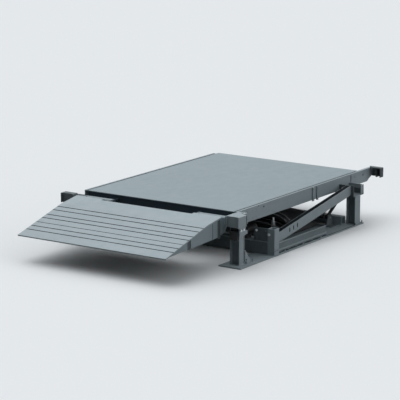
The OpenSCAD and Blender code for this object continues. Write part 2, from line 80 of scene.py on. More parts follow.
def noise_node(tree, scale, detail, stretch=(1.0, 1.0, 1.0)):
    coord = tree.nodes.new("ShaderNodeTexCoord")
    mapping = tree.nodes.new("ShaderNodeMapping")
    mapping.inputs["Scale"].default_value = stretch
    tex = tree.nodes.new("ShaderNodeTexNoise")
    tex.inputs["Scale"].default_value = scale
    tex.inputs["Detail"].default_value = detail
    tree.links.new(coord.outputs["Object"], mapping.inputs["Vector"])
    tree.links.new(mapping.outputs["Vector"], tex.inputs["Vector"])
    return tex


def ramp_node(tree, source, low, high, colour_low, colour_high):
    ramp = tree.nodes.new("ShaderNodeValToRGB")
    ramp.color_ramp.elements[0].position = low
    ramp.color_ramp.elements[1].position = high
    ramp.color_ramp.elements[0].color = (*colour_low, 1.0)
    ramp.color_ramp.elements[1].color = (*colour_high, 1.0)
    tree.links.new(source, ramp.inputs["Fac"])
    return ramp


def add_bump(tree, shader, scale, strength, distance):
    tex = noise_node(tree, scale, 6.0)
    bump = tree.nodes.new("ShaderNodeBump")
    bump.inputs["Strength"].default_value = strength
    bump.inputs["Distance"].default_value = distance
    tree.links.new(tex.outputs["Fac"], bump.inputs["Height"])
    tree.links.new(bump.outputs["Normal"], shader.inputs["Normal"])


def shade(colour, factor):
    return tuple(c * factor for c in colour)


def paint(name, colour, rough, spread, bump=0.12):
    """Sprayed paint: a slow drift of tone, faint scuffs and a fine orange peel."""
    mat, tree, shader = node_tree(name)
    dark = shade(colour, 1 - spread)
    light = shade(colour, 1 + spread)
    drift = noise_node(tree, 1.6, 5.0)
    tone = ramp_node(tree, drift.outputs["Fac"], 0.3, 0.7, dark, light)
    scuff = noise_node(tree, 14.0, 10.0, (1.0, 0.6, 1.0))
    mask = ramp_node(tree, scuff.outputs["Fac"], 0.62, 0.78, (0, 0, 0), (1, 1, 1))
    mix = tree.nodes.new("ShaderNodeMixRGB")
    mix.inputs["Color2"].default_value = (*dark, 1.0)
    tree.links.new(mask.outputs["Color"], mix.inputs["Fac"])
    tree.links.new(tone.outputs["Color"], mix.inputs["Color1"])
    tree.links.new(mix.outputs["Color"], shader.inputs["Base Color"])
    gloss = ramp_node(tree, scuff.outputs["Fac"], 0.35, 0.75, (rough,) * 3, (rough + 0.16,) * 3)
    tree.links.new(gloss.outputs["Color"], shader.inputs["Roughness"])
    add_bump(tree, shader, 160.0, bump, 0.0006)
    return mat


def rubber(name, colour, bump_scale=90.0):
    mat, tree, shader = node_tree(name)
    drift = noise_node(tree, 3.0, 6.0)
    dark = shade(colour, 0.7)
    light = shade(colour, 1.5)
    tone = ramp_node(tree, drift.outputs["Fac"], 0.3, 0.75, dark, light)
    tree.links.new(tone.outputs["Color"], shader.inputs["Base Color"])
    shader.inputs["Roughness"].default_value = 0.62
    add_bump(tree, shader, bump_scale, 0.35, 0.0012)
    return mat


def metal(name, colour, rough):
    mat, tree, shader = node_tree(name)
    shader.inputs["Base Color"].default_value = (*colour, 1.0)
    shader.inputs["Metallic"].default_value = 1.0
    streak = noise_node(tree, 40.0, 4.0)
    gloss = ramp_node(tree, streak.outputs["Fac"], 0.3, 0.7, (rough,) * 3, (rough + 0.15,) * 3)
    tree.links.new(gloss.outputs["Color"], shader.inputs["Roughness"])
    add_bump(tree, shader, 220.0, 0.1, 0.0004)
    return mat


DECK_BLUE = (0.275, 0.342, 0.375)
# The lip's blue is the deck's blue made lighter: painted light for the brighter sloping lip
LIT_LIP_BLUE = (0.325, 0.395, 0.43)
FRAME_BLUE = (0.29, 0.35, 0.38)
# Dark navy for pieces deep under the deck: painted shade
PAINTED_SHADE_BLUE = (0.03, 0.048, 0.064)
MATERIALS = {
    "deck_paint": paint("deck_paint", DECK_BLUE, rough=0.5, spread=0.02),
    "frame_paint": paint("frame_paint", FRAME_BLUE, rough=0.45, spread=0.06),
    "rubber": rubber("rubber", (0.012, 0.012, 0.014)),
    "motor_black": paint("motor_black", (0.014, 0.015, 0.017), rough=0.4, spread=0.2),
    "zinc_steel": metal("zinc_steel", (0.62, 0.64, 0.66), 0.24),
    "strut_black": paint("strut_black", (0.02, 0.022, 0.025), rough=0.35, spread=0.2),
}
# A near-black, hardly glossy coat for grooves, openings and gaps: painted shade in recesses
RECESS_SHADE = paint("painted_recess_shade", (0.012, 0.015, 0.018), rough=0.84, spread=0.2)
GROOVE_SPECULAR = 0.05
set_specular(RECESS_SHADE, GROOVE_SPECULAR)

for part in frame["record"]["subparts"]:
    piece = nodes[part["node"]]
    piece.data.materials.clear()
    piece.data.materials.append(MATERIALS[part["material_slot"]])
# The lip takes the lighter copy of the deck's paint, as painted light
nodes["lip_plate"].data.materials[0] = paint("lit_lip_paint", LIT_LIP_BLUE, rough=0.5, spread=0.03)

# Pieces deep in the shade get a darker coat than their neighbours: painted shade
SHADE_COATS = {
    "deck_lip_lugs": PAINTED_SHADE_BLUE,
    "left_front_head": shade(FRAME_BLUE, 0.5),
    "deck_front_header": PAINTED_SHADE_BLUE,
    "front_cross_beam": shade(FRAME_BLUE, 0.55),
    "blower_plate": shade(FRAME_BLUE, 0.5),
    "right_rear_seat": shade(FRAME_BLUE, 0.4),
    "left_rear_seat": shade(FRAME_BLUE, 0.4),
    "right_rear_anchor": shade(FRAME_BLUE, 0.4),
    "strut_feet": shade(FRAME_BLUE, 0.35),
    "right_base_angle": shade(FRAME_BLUE, 0.7),
    "left_base_angle": shade(FRAME_BLUE, 0.7),
}
COAT_SPECULAR = 0.25
for name, colour in SHADE_COATS.items():
    coat = paint(name + "_coat", colour, rough=0.6, spread=0.08)
    set_specular(coat, COAT_SPECULAR)
    nodes[name].data.materials[0] = coat

# Small rounding on the edges of plates and beams
EDGE_ROUND = 0.0022
EDGE_ANGLE = math.radians(40)
UNROUNDED = {"air_bag", "strut_rods"}
for name, piece in nodes.items():
    if name in UNROUNDED:
        continue
    bevel = piece.modifiers.new("edge_round", "BEVEL")
    bevel.width = EDGE_ROUND
    bevel.segments = 2
    bevel.limit_method = "ANGLE"
    bevel.angle_limit = EDGE_ANGLE
    bevel.harden_normals = False


# Piece builders

SMOOTH_ANGLE = math.radians(35)


def add_piece(name, bm, body, slot, material=None, smooth=True):
    mesh = bpy.data.meshes.new(name)
    bmesh.ops.recalc_face_normals(bm, faces=bm.faces)
    bm.to_mesh(mesh)
    bm.free()
    obj = bpy.data.objects.new(name, mesh)
    scene.collection.objects.link(obj)
    mesh.materials.append(material or MATERIALS[slot])
    if smooth:
        for poly in mesh.polygons:
            poly.use_smooth = True
        mesh.set_sharp_from_angle(angle=SMOOTH_ANGLE)
    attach(obj, body)
    return obj


def turn_to(axis):
    """The rotation that takes +Z to an axis."""
    return Vector((0, 0, 1)).rotation_difference(Vector(axis)).to_matrix().to_4x4()


def add_cylinder(bm, centre, axis, radius, height, segments=24, radius_top=None):
    """A closed cylinder that starts at centre and runs along axis."""
    matrix = Matrix.Translation(centre) @ turn_to(axis) @ Matrix.Translation((0, 0, height / 2))
    bmesh.ops.create_cone(
        bm,
        cap_ends=True,
        segments=segments,
        radius1=radius,
        radius2=radius if radius_top is None else radius_top,
        depth=height,
        matrix=matrix,
    )


def add_box(bm, low, high):
    size = high - low
    matrix = Matrix.Translation((low + high) / 2) @ Matrix.Diagonal((*size, 1.0))
    bmesh.ops.create_cube(bm, size=1.0, matrix=matrix)


def add_skin(bm, loops):
    """A closed skin over a row of loops with the same number of points."""
    rows = [[bm.verts.new(spot) for spot in loop] for loop in loops]
    count = len(rows[0])
    for a, b in zip(rows, rows[1:]):
        for k in range(count):
            n = (k + 1) % count
            bm.faces.new((a[k], a[n], b[n], b[k]))
    bm.faces.new(list(reversed(rows[0])))
    bm.faces.new(rows[-1])


def around(count):
    """Angles spaced evenly around a circle."""
    return [2 * math.pi * k / count for k in range(count)]


def add_bolt(bm, centre, axis, size, stud=0.0):
    """A washer, a hex head with a chamfered crown, and a short thread end."""
    axis = Vector(axis)
    washer = size * 0.16
    head = size * 0.5
    add_cylinder(bm, centre, axis, size * 1.1, washer)
    base = centre + axis * washer
    add_cylinder(bm, base, axis, size * 0.92, head, segments=6)
    crown = base + axis * head
    add_cylinder(bm, crown, axis, size * 0.86, size * 0.1, segments=6, radius_top=size * 0.7)
    if stud:
        add_cylinder(bm, crown, axis, size * 0.5, stud, segments=16)


WELD_PITCH = 0.011
WELD_SIDES = 8
# Swell of every other ripple, how uneven the ripples are, and the ends, as parts of the radius
WELD_RIPPLE = 0.16
WELD_UNEVEN = 0.06
WELD_END = 0.35


def add_weld(bm, start, end, radius):
    """A bead of overlapping ripples between two points."""
    length = (end - start).length
    axis = (end - start).normalized()
    turn = turn_to(axis)
    rings = max(3, int(length / WELD_PITCH))
    loops = []
    for k in range(rings + 1):
        swell = 1.0 + WELD_RIPPLE * (k % 2) + WELD_UNEVEN * random.random()
        if k in (0, rings):
            swell = WELD_END
        centre = start + axis * (length * k / rings)
        loop = []
        for angle in around(WELD_SIDES):
            offset = Vector((math.cos(angle), math.sin(angle), 0)) * radius * swell
            loop.append(centre + turn @ offset)
        loops.append(loop)
    add_skin(bm, loops)


# Camera at the photo's viewing angle

CAMERA_PLACE = (11.969, -16.9518 + DECK_FRONT, 5.0717)
CAMERA_TURN = (math.radians(90 - 12.33), 0.0, math.radians(34.03))
camera_data = bpy.data.cameras.new("camera")
camera_data.sensor_width = 36.0
camera_data.lens = 181.03
camera = bpy.data.objects.new("camera", camera_data)
camera.location = CAMERA_PLACE
camera.rotation_euler = Euler(CAMERA_TURN)
scene.collection.objects.link(camera)
scene.camera = camera

# Light and floor

# Two wide soft glows, as where each comes from, its strength and how fast it falls off:
# a main one above the left rear and a low one from the right
GLOWS = (
    ((-0.55, 0.2, 0.8), 3.3, 5.0),
    ((0.95, 0.22, 0.24), 1.22, 3.0),
)
LIGHT_ALL_ROUND = 0.008
LIGHT_COLOUR = (0.97, 0.99, 1.0, 1.0)

world = bpy.data.worlds.new("world")
scene.world = world
world.use_nodes = True
sky = world.node_tree
back = sky.nodes["Background"]
back.inputs["Color"].default_value = LIGHT_COLOUR
sky_coord = sky.nodes.new("ShaderNodeTexCoord")


def sky_math(operation, source, value):
    node = sky.nodes.new("ShaderNodeMath")
    node.operation = operation
    sky.links.new(source, node.inputs[0])
    node.inputs[1].default_value = value
    return node


def add_glow(place, power, fall):
    """Light that is strongest from one direction of the sky."""
    towards = sky.nodes.new("ShaderNodeVectorMath")
    towards.operation = "DOT_PRODUCT"
    towards.inputs[1].default_value = Vector(place).normalized()
    sky.links.new(sky_coord.outputs["Generated"], towards.inputs[0])
    facing = sky_math("MAXIMUM", towards.outputs["Value"], 0.0)
    spread = sky_math("POWER", facing.outputs[0], fall)
    return sky_math("MULTIPLY", spread.outputs[0], power)


total = None
for place, power, fall in GLOWS:
    glow = add_glow(place, power, fall)
    joined = sky_math("ADD", glow.outputs[0], LIGHT_ALL_ROUND)
    if total:
        sky.links.new(total.outputs[0], joined.inputs[1])
    total = joined
sky.links.new(total.outputs[0], back.inputs["Strength"])

FLOOR_PALE = (0.85, 0.868, 0.886, 1.0)
FLOOR_DARK = (0.05, 0.052, 0.054, 1.0)
FLOOR_REACH = 90.0


def pale_floor():
    """Pale to the camera and in reflections, darker to light that bounces up."""
    mat = bpy.data.materials.new("pale_floor")
    mat.use_nodes = True
    tree = mat.node_tree
    tree.nodes.clear()
    out = tree.nodes.new("ShaderNodeOutputMaterial")
    pale = tree.nodes.new("ShaderNodeBsdfDiffuse")
    pale.inputs["Color"].default_value = FLOOR_PALE
    dark = tree.nodes.new("ShaderNodeBsdfDiffuse")
    dark.inputs["Color"].default_value = FLOOR_DARK
    path = tree.nodes.new("ShaderNodeLightPath")
    first = tree.nodes.new("ShaderNodeMath")
    first.operation = "MAXIMUM"
    second = tree.nodes.new("ShaderNodeMath")
    second.operation = "MAXIMUM"
    mix = tree.nodes.new("ShaderNodeMixShader")
    tree.links.new(path.outputs["Is Camera Ray"], first.inputs[0])
    tree.links.new(path.outputs["Is Glossy Ray"], first.inputs[1])
    tree.links.new(first.outputs[0], second.inputs[0])
    tree.links.new(path.outputs["Is Transmission Ray"], second.inputs[1])
    tree.links.new(second.outputs[0], mix.inputs["Fac"])
    tree.links.new(dark.outputs[0], mix.inputs[1])
    tree.links.new(pale.outputs[0], mix.inputs[2])
    tree.links.new(mix.outputs[0], out.inputs["Surface"])
    return mat


bm = bmesh.new()
bmesh.ops.create_grid(bm, x_segments=1, y_segments=1, size=FLOOR_REACH)
floor_mesh = bpy.data.meshes.new("floor")
bm.to_mesh(floor_mesh)
bm.free()
floor_mesh.materials.append(pale_floor())
floor = bpy.data.objects.new("floor", floor_mesh)
scene.collection.objects.link(floor)

# Both sides get the same fittings, given for the right side in millimetres

SIDES = (1, -1)
UP = (0, 0, 1)
FORWARD = (0, -1, 0)
# How far a thin face sinks into what carries it, and how far it stands out
SINK = 1.0
FACE_PROUD = 0.4


def side(sign, x, y, z):
    return at(sign * x, y, z)


def add_side_box(bm, sign, xs, ys, zs):
    """A box on one side, given by its x, y and z spans."""
    ends = sorted((sign * xs[0], sign * xs[1]))
    add_box(bm, at(ends[0], ys[0], zs[0]), at(ends[1], ys[1], zs[1]))


def spans(node):
    """A node's box in millimetres from the deck's front edge, as x, y and z spans."""
    low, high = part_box(node)
    shift = Vector((0, DECK_FRONT, 0))
    return list(zip((Vector(low) - shift) / MM, (Vector(high) - shift) / MM))


def inside(span, first, last=None):
    """Two places a little inside the ends of a span."""
    return span[0] + first, span[1] - (first if last is None else last)


DECK_Y = spans("deck_plate")[1]
BASE_X, BASE_Y, BASE_Z = spans("right_base_plate")
BASE_TOP = BASE_Z[1]
POST_X, POST_Y = spans("right_front_post")[:2]
CLAMP_X, CLAMP_Y, CLAMP_Z = spans("post_clamp_plates")
GUSSET_TOP = spans("post_gussets")[2][1]
RAIL_X, RAIL_Y, RAIL_Z = spans("right_side_rail")
HEAD_X, HEAD_Y = spans("right_front_head")[:2]
HEAD_IN = RAIL_X[1] - 4
HEAD_NODES = {1: "right_front_head", -1: "left_front_head"}
# Rear face of each head, without the ties behind it
HEAD_BACKS = {1: -60, -1: -130}
DOUBLER_OUT = spans("rail_doublers")[0][1]
DOUBLER_ENDS = (31, 401)
STIFFENER_X, STIFFENER_Y = spans("rail_stiffeners")[:2]
UPRIGHT_X, UPRIGHT_Y = spans("right_brace_upright")[:2]
BRACE_X, BRACE_Y, BRACE_Z = spans("right_brace")
BRACE_DEPTH = 106
ANGLE_X, ANGLE_Y, ANGLE_Z = spans("right_base_angle")
ANGLE_T = 8
ANGLE_FACE = ANGLE_X[0] + ANGLE_T
ANGLE_FOOT_TOP = BASE_TOP + ANGLE_T
ANGLE_START = ANGLE_Y[0] + 4
REAR_X, REAR_Y, REAR_Z = spans("right_rear_post")
SEAT_X, SEAT_Y, SEAT_Z = spans("right_rear_seat")
ANCHOR_X, ANCHOR_Y, ANCHOR_Z = spans("right_rear_anchor")
BEAM_X, BEAM_Y, BEAM_Z = spans("front_cross_beam")
BLOWER_X, BLOWER_Y, BLOWER_Z = spans("blower_plate")

# Fasteners: bright ones where they clamp, painted ones along the frame, and shaded ones in the
# blower plate's coat of painted shade

# Sizes of the bolts and lengths of the studs, in metres
CLAMP_BOLT = 0.013
BEAM_BOLT = 0.011
BASE_BOLT, BASE_STUD = 0.013, 0.02
DOUBLER_BOLT = 0.007
UPRIGHT_BOLT = 0.009
UPRIGHT_FRONT_BOLT = 0.015
ANGLE_BOLT, ANGLE_STUD = 0.011, 0.01
STIFFENER_BOLT = 0.006
RAIL_END_BOLT = 0.012
BLOWER_BOLT = 0.013
# Places of the bolts
CLAMP_BOLT_Z = CLAMP_Z[1] - 34
CLAMP_BOLT_ROW = inside(POST_Y, 22, 30)
BEAM_BOLT_PLACES = ((1031, 100), (893, 134))
FRONT_BASE_BOLT_PLACES = ((1083, -51), (1131, -46), (1074, 97), (1128, 81))
REAR_BASE_BOLT_PLACES = ((1181, 2120), (1181, 2262), (1098, 2266))
DOUBLER_BOLT_ROW = (90, 190, 290, 365)
DOUBLER_BOLT_ZS = inside(RAIL_Z, 34)
REAR_BOLT_ROW = (2360, 2421)
REAR_BOLT_Z = RAIL_Z[1] - 45
UPRIGHT_BOLT_ROW = inside(UPRIGHT_Y, 24)
UPRIGHT_BOLT_Z = BASE_TOP + 50
UPRIGHT_FRONT_BOLT_X, UPRIGHT_FRONT_BOLT_Z = UPRIGHT_X[0] + 17, 231
ANGLE_BOLT_X = ANGLE_X[1] - 16
ANGLE_BOLT_ROW = (640, 1010, 1380)
STIFFENER_BOLT_ROW = inside(STIFFENER_Y, 15)
STIFFENER_BOLT_ZS = inside(RAIL_Z, 32)
RAIL_END_BOLT_Y, RAIL_END_BOLT_Z = 2624, RAIL_Z[1] - 50
BLOWER_BOLT_XS = inside(BLOWER_X, 30)
BLOWER_BOLT_ZS = (BLOWER_Z[0] + 30, BLOWER_Z[0] + 108)
BRIGHT_BLOWER_BOLT = (BLOWER_BOLT_XS[0], BLOWER_BOLT_ZS[1])

bolts = bmesh.new()
painted_bolts = bmesh.new()
shaded_bolts = bmesh.new()
for sign in SIDES:
    out = (sign, 0, 0)
    for y in CLAMP_BOLT_ROW:
        add_bolt(bolts, side(sign, CLAMP_X[1], y, CLAMP_BOLT_Z), out, CLAMP_BOLT)
    for x, z in BEAM_BOLT_PLACES:
        add_bolt(shaded_bolts, side(sign, x, BEAM_Y[0], z), FORWARD, BEAM_BOLT)
    for x, y in FRONT_BASE_BOLT_PLACES + REAR_BASE_BOLT_PLACES:
        add_bolt(painted_bolts, side(sign, x, y, BASE_TOP), UP, BASE_BOLT, BASE_STUD)
    for y in DOUBLER_BOLT_ROW:
        for z in DOUBLER_BOLT_ZS:
            add_bolt(painted_bolts, side(sign, DOUBLER_OUT, y, z), out, DOUBLER_BOLT)
    for y in REAR_BOLT_ROW:
        add_bolt(painted_bolts, side(sign, DOUBLER_OUT, y, REAR_BOLT_Z), out, DOUBLER_BOLT)
    for y in UPRIGHT_BOLT_ROW:
        add_bolt(painted_bolts, side(sign, UPRIGHT_X[1], y, UPRIGHT_BOLT_Z), out, UPRIGHT_BOLT)
    for y in ANGLE_BOLT_ROW:
        place = side(sign, ANGLE_BOLT_X, y, ANGLE_FOOT_TOP)
        add_bolt(painted_bolts, place, UP, ANGLE_BOLT, ANGLE_STUD)
    for y in STIFFENER_BOLT_ROW:
        for z in STIFFENER_BOLT_ZS:
            add_bolt(painted_bolts, side(sign, STIFFENER_X[1], y, z), out, STIFFENER_BOLT)
rail_end = at(RAIL_X[1], RAIL_END_BOLT_Y, RAIL_END_BOLT_Z)
add_bolt(painted_bolts, rail_end, (1, 0, 0), RAIL_END_BOLT)
for x in BLOWER_BOLT_XS:
    for z in BLOWER_BOLT_ZS:
        holder = bolts if (x, z) == BRIGHT_BLOWER_BOLT else shaded_bolts
        add_bolt(holder, at(x, BLOWER_Y[0], z), FORWARD, BLOWER_BOLT)
upright_front = at(UPRIGHT_FRONT_BOLT_X, UPRIGHT_Y[0], UPRIGHT_FRONT_BOLT_Z)
add_bolt(bolts, upright_front, FORWARD, UPRIGHT_FRONT_BOLT)
# The shaded bolts take the blower plate's darker coat: painted shade
BLOWER_SHADE_COAT = nodes["blower_plate"].data.materials[0]
add_piece("frame_bolts", bolts, "frame", "zinc_steel")
add_piece("frame_painted_bolts", painted_bolts, "frame", "frame_paint")
add_piece("frame_shaded_bolts", shaded_bolts, "frame", "frame_paint", BLOWER_SHADE_COAT)

# Thin plates: flanges along the front edges of the heads, end plates of the seats, the web
# between rail and anchor, and edges of the base angles and the front beam

FLANGE_T = 10
FLANGE_PROUD = 16
FLANGE_Y = (HEAD_Y[0] - FLANGE_PROUD, HEAD_Y[0])
SEAT_IN = SEAT_X[1] - 8
SEAT_PLATE_Y = (SEAT_Y[1] - 60, SEAT_Y[1])
SEAT_PLATE_Z = (SEAT_Z[0], RAIL_Z[0] + 56)
SEAT_WEB_Y = (SEAT_Y[1] - 12, SEAT_Y[1] - 2)
SEAT_WEB_Z = (RAIL_Z[0] + 10, SEAT_PLATE_Z[1])
# Along the top and above the foot of each angle: z span and how far the edge stands out
ANGLE_EDGES = (
    ((ANGLE_Z[1] - 9, ANGLE_Z[1]), 8),
    ((BASE_TOP + 30, BASE_TOP + 46), 16),
)
ANCHOR_WEB_T = 10
ANCHOR_WEB_Y = ANCHOR_Y[1] - ANCHOR_WEB_T
ANCHOR_LINK_X = (RAIL_X[0], RAIL_X[0] + 8)
ANCHOR_LINK_Z = (ANCHOR_Z[0], ANCHOR_Z[1] - 10)
BEAM_EDGE_Y = (BEAM_Y[0] - 3, BEAM_Y[0])
BEAM_EDGE_Z = (BEAM_Z[1] - 10, BEAM_Z[1])

trims = bmesh.new()
left_shade_trims = bmesh.new()
for sign in SIDES:
    head_z = spans(HEAD_NODES[sign])[2]
    holder = trims if sign > 0 else left_shade_trims
    for x in (HEAD_IN, HEAD_X[1] - FLANGE_T):
        add_side_box(holder, sign, (x, x + FLANGE_T), FLANGE_Y, head_z)
    add_side_box(trims, sign, (SEAT_IN, SEAT_X[1]), SEAT_PLATE_Y, SEAT_PLATE_Z)
    add_side_box(trims, sign, (RAIL_X[1], SEAT_IN), SEAT_WEB_Y, SEAT_WEB_Z)
    for edge_z, proud in ANGLE_EDGES:
        edge_x = (ANGLE_FACE - SINK, ANGLE_FACE + proud)
        add_side_box(trims, sign, edge_x, (ANGLE_START, ANGLE_Y[1]), edge_z)
add_side_box(trims, 1, (RAIL_X[0], ANCHOR_X[0]), (ANCHOR_WEB_Y, ANCHOR_Y[1]), ANCHOR_Z)
add_side_box(trims, 1, ANCHOR_LINK_X, (RAIL_Y[1], ANCHOR_WEB_Y), ANCHOR_LINK_Z)
add_side_box(trims, 1, BEAM_X, BEAM_EDGE_Y, BEAM_EDGE_Z)
# The flanges on the left head take its darker coat: painted shade
LEFT_HEAD_SHADE_COAT = nodes["left_front_head"].data.materials[0]
add_piece("frame_trims", trims, "frame", "frame_paint", smooth=False)
add_piece("left_head_shade_trims", left_shade_trims, "frame", "frame_paint", LEFT_HEAD_SHADE_COAT, smooth=False)

# Weld beads

# Radii of the beads, in metres
FOOT_BEAD = 0.006
JOINT_BEAD = 0.005
EDGE_BEAD = 0.004
FINE_BEAD = 0.003
FOOT_WELD_Z = BASE_TOP + 2
CLAMP_WELD_X = CLAMP_X[1] - 6
BRACE_WELD_INSET = 4
STITCHES = range(540, 1440, 160)
INNER_STITCH = 60
OUTER_STITCH = 50
STITCH_Z = ANGLE_FOOT_TOP + 1
STIFFENER_W = 30
STIFFENER_WELD_Z = inside(RAIL_Z, 8)
DOUBLER_WELD_Z = inside(RAIL_Z, 14)


def along_y(x, ys, z, radius):
    return (x, ys[0], z), (x, ys[1], z), radius


def along_z(x, y, zs, radius):
    return (x, y, zs[0]), (x, y, zs[1]), radius


low_brace_z = inside((BRACE_Z[0], BRACE_Z[0] + BRACE_DEPTH), BRACE_WELD_INSET)
high_brace_z = inside((BRACE_Z[1] - BRACE_DEPTH, BRACE_Z[1]), BRACE_WELD_INSET)
beads = [
    along_y(POST_X[1], POST_Y, FOOT_WELD_Z, FOOT_BEAD),
    ((POST_X[0], POST_Y[0], FOOT_WELD_Z), (POST_X[1], POST_Y[0], FOOT_WELD_Z), JOINT_BEAD),
    along_y(CLAMP_WELD_X, (CLAMP_Y[0] + 6, POST_Y[1]), CLAMP_Z[0], EDGE_BEAD),
    along_y(UPRIGHT_X[1], UPRIGHT_Y, FOOT_WELD_Z, FOOT_BEAD),
    along_z(BRACE_X[1], BRACE_Y[0] + 1, low_brace_z, JOINT_BEAD),
    along_z(BRACE_X[1], BRACE_Y[1] - 1, high_brace_z, JOINT_BEAD),
    along_y(REAR_X[1], REAR_Y, FOOT_WELD_Z, FOOT_BEAD),
    along_y(REAR_X[1], REAR_Y, REAR_Z[1], JOINT_BEAD),
]
for y in STITCHES:
    beads.append(along_y(ANGLE_FACE, (y, y + INNER_STITCH), STITCH_Z, EDGE_BEAD))
    beads.append(along_y(ANGLE_X[1], (y, y + OUTER_STITCH), FOOT_WELD_Z, EDGE_BEAD))
for y in (STIFFENER_Y[0], *inside(STIFFENER_Y, STIFFENER_W), STIFFENER_Y[1]):
    beads.append(along_z(RAIL_X[1], y, STIFFENER_WELD_Z, FINE_BEAD))
for y in DOUBLER_ENDS:
    beads.append(along_z(RAIL_X[1], y, DOUBLER_WELD_Z, EDGE_BEAD))

welds = bmesh.new()
for sign in SIDES:
    for start, end, radius in beads:
        add_weld(welds, side(sign, *start), side(sign, *end), radius)
add_piece("frame_welds", welds, "frame", "frame_paint")

# Openings in the brace and the rail, as dark caps set just proud of the face: painted shade
# inside them

BRACE_SLOTS = ((803, 206), (880, 217), (957, 228))
SLOT_HALF_W, SLOT_HALF_H = 0.009, 0.026
RAIL_HOLE_Y, RAIL_HOLE_Z = 514, RAIL_Z[1] - 36
RAIL_HOLE_R = 0.009
OVAL_POINTS = 24
OVAL_DEPTHS = (-0.001, 0.0005)
OVAL_SQUARE = 0.7


def add_oval(bm, centre, axis, half_width, half_height):
    """A thin upright oval that faces along a level axis."""
    axis = Vector(axis)
    across = Vector(UP).cross(axis) * half_width
    rise = Vector(UP) * half_height
    rings = []
    for depth in OVAL_DEPTHS:
        ring = []
        for angle in around(OVAL_POINTS):
            height = math.copysign(abs(math.sin(angle)) ** OVAL_SQUARE, math.sin(angle))
            ring.append(centre + axis * depth + across * math.cos(angle) + rise * height)
        rings.append(ring)
    add_skin(bm, rings)


openings = bmesh.new()
for sign in SIDES:
    out = (sign, 0, 0)
    for y, z in BRACE_SLOTS:
        add_oval(openings, side(sign, BRACE_X[1], y, z), out, SLOT_HALF_W, SLOT_HALF_H)
    rail_hole = side(sign, RAIL_X[1], RAIL_HOLE_Y, RAIL_HOLE_Z)
    add_oval(openings, rail_hole, out, RAIL_HOLE_R, RAIL_HOLE_R)
add_piece("frame_openings", openings, "frame", "frame_paint", RECESS_SHADE, smooth=False)

# Dark seams where plates meet and at the root of the base angles, and the shaded inside along
# the top of the braces: painted shade in the gaps and hollows


def add_seam(bm, sign, xs, start, end):
    """A thin strip between two places along a side, each as y and z."""
    along = Vector((0, end[0] - start[0], end[1] - start[1])).normalized()
    rise = Vector((0, -along.z, along.y))
    corners = ((xs[0], -SINK), (xs[1], -SINK), (xs[1], FACE_PROUD), (xs[0], FACE_PROUD))
    loops = []
    for y, z in (start, end):
        loops.append([at(*(Vector((sign * x, y, z)) + rise * lift)) for x, lift in corners])
    add_skin(bm, loops)


BASE_SEAM_X = (BASE_X[1] - 22, BASE_X[1] - 13)
# Strips that face up: x span, then start and end as y and z
TOP_SEAMS = (
    (
        (BRACE_X[0] + 4, BRACE_X[1] - 5),
        (BRACE_Y[0] + 3, BRACE_Z[0] + BRACE_DEPTH),
        (BRACE_Y[1] - 3, BRACE_Z[1]),
    ),
    ((ANGLE_FACE, ANGLE_FACE + 10), (ANGLE_START, ANGLE_FOOT_TOP), (ANGLE_Y[1], ANGLE_FOOT_TOP)),
    (BASE_SEAM_X, (ANGLE_START, ANGLE_FOOT_TOP), (ANGLE_Y[1], ANGLE_FOOT_TOP)),
    (BASE_SEAM_X, (ANGLE_Y[1], BASE_TOP), (BASE_Y[1] - 30, BASE_TOP)),
    ((RAIL_X[0] + 1, RAIL_X[0] + 9), (DECK_Y[0], RAIL_Z[1]), (DECK_Y[1] - 60, RAIL_Z[1])),
)
seams = bmesh.new()
for sign in SIDES:
    for xs, start, end in TOP_SEAMS:
        add_seam(seams, sign, xs, start, end)
    head_back = HEAD_BACKS[sign]
    head_z = spans(HEAD_NODES[sign])[2]
    # Strips on outer faces: the face's x, then y and z spans
    face_seams = (
        (POST_X[1], (POST_Y[1] + 1, POST_Y[1] + 10), (BASE_TOP + 24, GUSSET_TOP - 6)),
        (POST_X[1], (POST_Y[1] - 15, POST_Y[1] - 6), (BASE_TOP + 8, CLAMP_Z[0] - 4)),
        (HEAD_X[1], (head_back - 11, head_back - 2), inside(head_z, 4)),
        (RAIL_X[1], (DOUBLER_ENDS[1] + 1, DOUBLER_ENDS[1] + 9), inside(RAIL_Z, 4)),
    )
    for x, ys, zs in face_seams:
        add_side_box(seams, sign, (x - SINK, x + FACE_PROUD), ys, zs)
add_piece("frame_seams", seams, "frame", "frame_paint", RECESS_SHADE, smooth=False)

# Dark floor of the grooves across the lip: painted shade in the grooves

LIP_SLOPE = math.radians(15)
LIP_FRONT_LENGTH = 760
LIP_DROP = 255.1
LIP_X, LIP_Y = spans("lip_plate")[:2]
LIP_TIP_Y, LIP_TIP_Z = LIP_Y[0], RAIL_Z[1] - LIP_DROP
# Places along the front part of the lip, as shares of its length from the bend
GROOVES = (0.08, 0.19, 0.336, 0.44, 0.573, 0.69, 0.803)
FAINT_GROOVE = 0.573
GROOVE_W = 9
STRIP_W = 12
FAINT_STRIP_W = 4
STRIP_DEPTHS = (1.5, -0.3)
strips = bmesh.new()
for groove in GROOVES:
    width = FAINT_STRIP_W if groove == FAINT_GROOVE else STRIP_W
    start = groove * LIP_FRONT_LENGTH + (GROOVE_W - width) / 2
    end = start + width
    low, high = STRIP_DEPTHS
    outline = []
    for place, depth in ((start, low), (end, low), (end, high), (start, high)):
        run = LIP_FRONT_LENGTH - place
        y = LIP_TIP_Y + run * math.cos(LIP_SLOPE) + depth * math.sin(LIP_SLOPE)
        z = LIP_TIP_Z + run * math.sin(LIP_SLOPE) - depth * math.cos(LIP_SLOPE)
        outline.append((y, z))
    add_skin(strips, [[at(x, y, z) for y, z in outline] for x in inside(LIP_X, 1)])
add_piece("lip_groove_strips", strips, "lip", "deck_paint", RECESS_SHADE, smooth=False)

# Seams on the lip's cheeks

